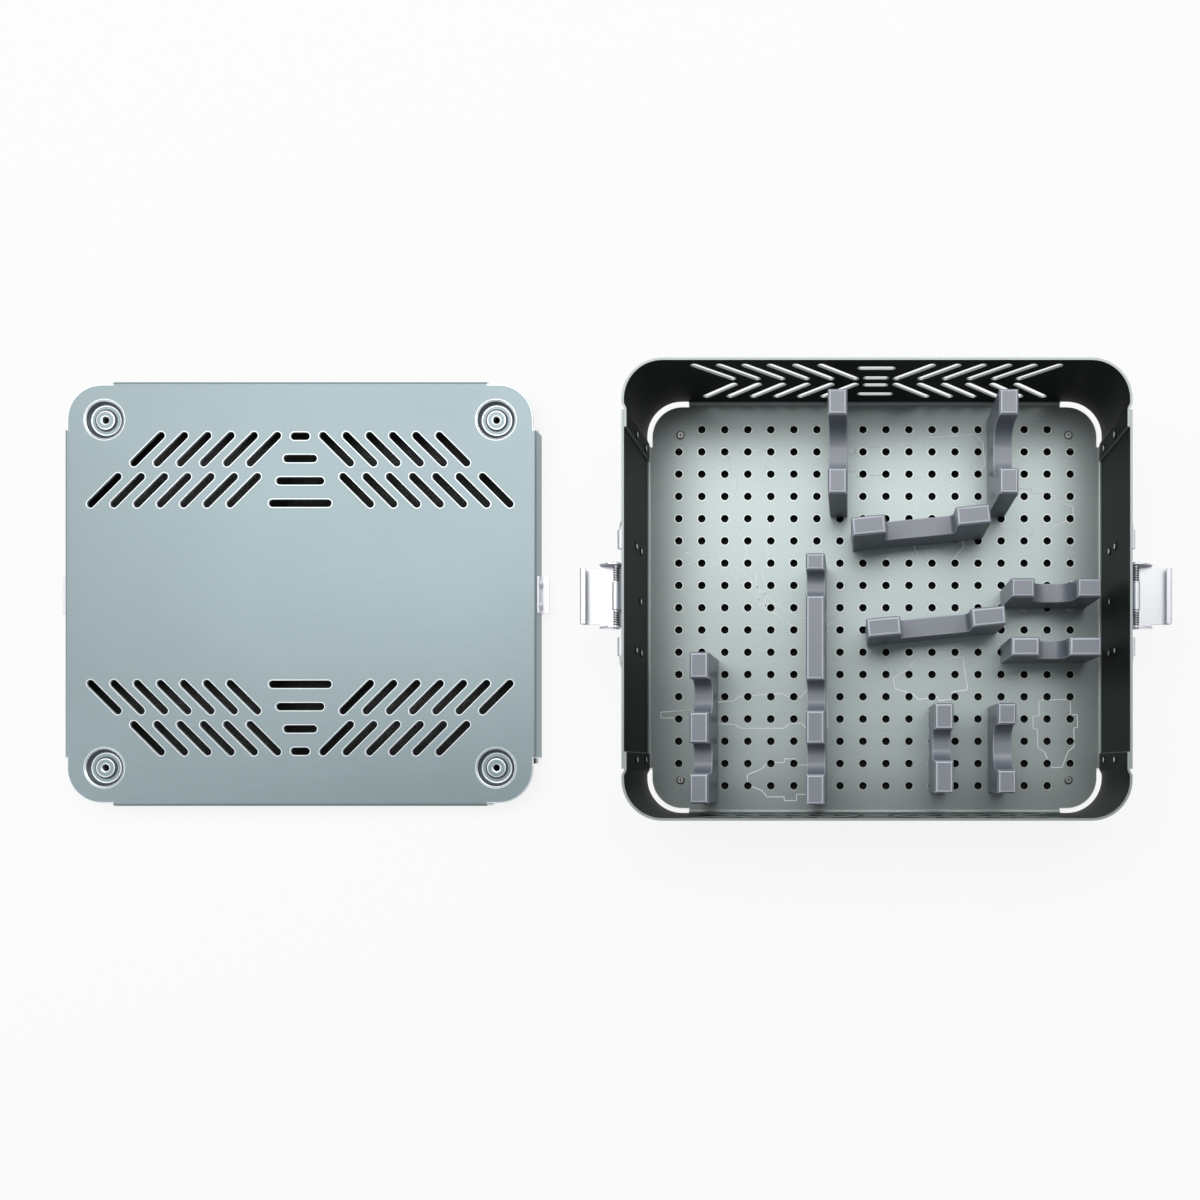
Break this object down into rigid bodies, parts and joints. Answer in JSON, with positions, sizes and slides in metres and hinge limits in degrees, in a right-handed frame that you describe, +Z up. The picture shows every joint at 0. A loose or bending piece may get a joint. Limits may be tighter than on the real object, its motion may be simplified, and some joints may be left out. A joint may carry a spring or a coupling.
{
  "type": "sterilization container",
  "caption": "Perforated instrument sterilization container: base with silicone holders, draw latches, bail handles and feet, and a vented lift-off stacking lid lying beside it.",
  "frame": {"origin": "middle of the four feet of the base, on the surface that they stand on", "axes": "+X towards the right latch, +Y towards the back wall, +Z up; the lid lies beside the base on -X"},
  "size_m": [0.7086, 0.28, 0.074],
  "materials": {
    "body_sheet": "brushed, anodised",
    "lid_sheet": "satin, anodised",
    "holder_silicone": "matt silicone",
    "latch_steel": "polished stainless",
    "wire_steel": "drawn wire",
    "rivet_metal": "turned",
    "foot_rubber": "matt"
  },
  "bodies": {
    "base": {"floor_plate": "body_sheet", "side_panel_left": "body_sheet", "side_panel_right": "body_sheet", "back_wall": "body_sheet", "front_wall": "body_sheet", "corner_rivets": "rivet_metal", "feet": "foot_rubber", "foot_screws": "rivet_metal", "holder_back_left": "holder_silicone", "holder_back_right": "holder_silicone", "holder_upper_long": "holder_silicone", "holder_middle_long": "holder_silicone", "holder_tall_row": "holder_silicone", "holder_left_row": "holder_silicone", "holder_right_wide": "holder_silicone", "holder_right_narrow": "holder_silicone", "holder_front_small": "holder_silicone", "holder_front_wide": "holder_silicone", "holder_screws": "rivet_metal", "latch_bracket_left": "latch_steel", "latch_pin_left": "wire_steel", "latch_springs_left": "wire_steel", "handle_clips_left": "latch_steel", "latch_bracket_right": "latch_steel", "latch_pin_right": "wire_steel", "latch_springs_right": "wire_steel", "handle_clips_right": "latch_steel", "latch_rivets": "rivet_metal", "handle_clip_rivets": "rivet_metal"},
    "latch_left": {"latch_lever_left": "latch_steel"},
    "latch_right": {"latch_lever_right": "latch_steel"},
    "handle_left": {"bail_handle_left": "wire_steel"},
    "handle_right": {"bail_handle_right": "wire_steel"},
    "lid": {"lid": "lid_sheet", "lid_catches": "latch_steel", "lid_catch_rivets": "rivet_metal"}
  },
  "joints": [
    {"name": "latch_left_swing", "type": "hinge", "parent": "base", "child": "latch_left", "pos_m": [-0.1575, 0, 0.0505], "axis": [0, 1, 0], "range_deg": [0, 90]},
    {"name": "latch_right_swing", "type": "hinge", "parent": "base", "child": "latch_right", "pos_m": [0.1575, 0, 0.0505], "axis": [0, -1, 0], "range_deg": [0, 90]},
    {"name": "handle_left_swing", "type": "hinge", "parent": "base", "child": "handle_left", "pos_m": [-0.1518, 0, 0.0595], "axis": [0, 1, 0], "range_deg": [0, 90]},
    {"name": "handle_right_swing", "type": "hinge", "parent": "base", "child": "handle_right", "pos_m": [0.1518, 0, 0.0595], "axis": [0, -1, 0], "range_deg": [0, 90]},
    {"name": "lid_lift", "type": "slide", "parent": "base", "child": "lid", "axis": [0, 0, 1], "range_m": [0, 0.1]}
  ]
}
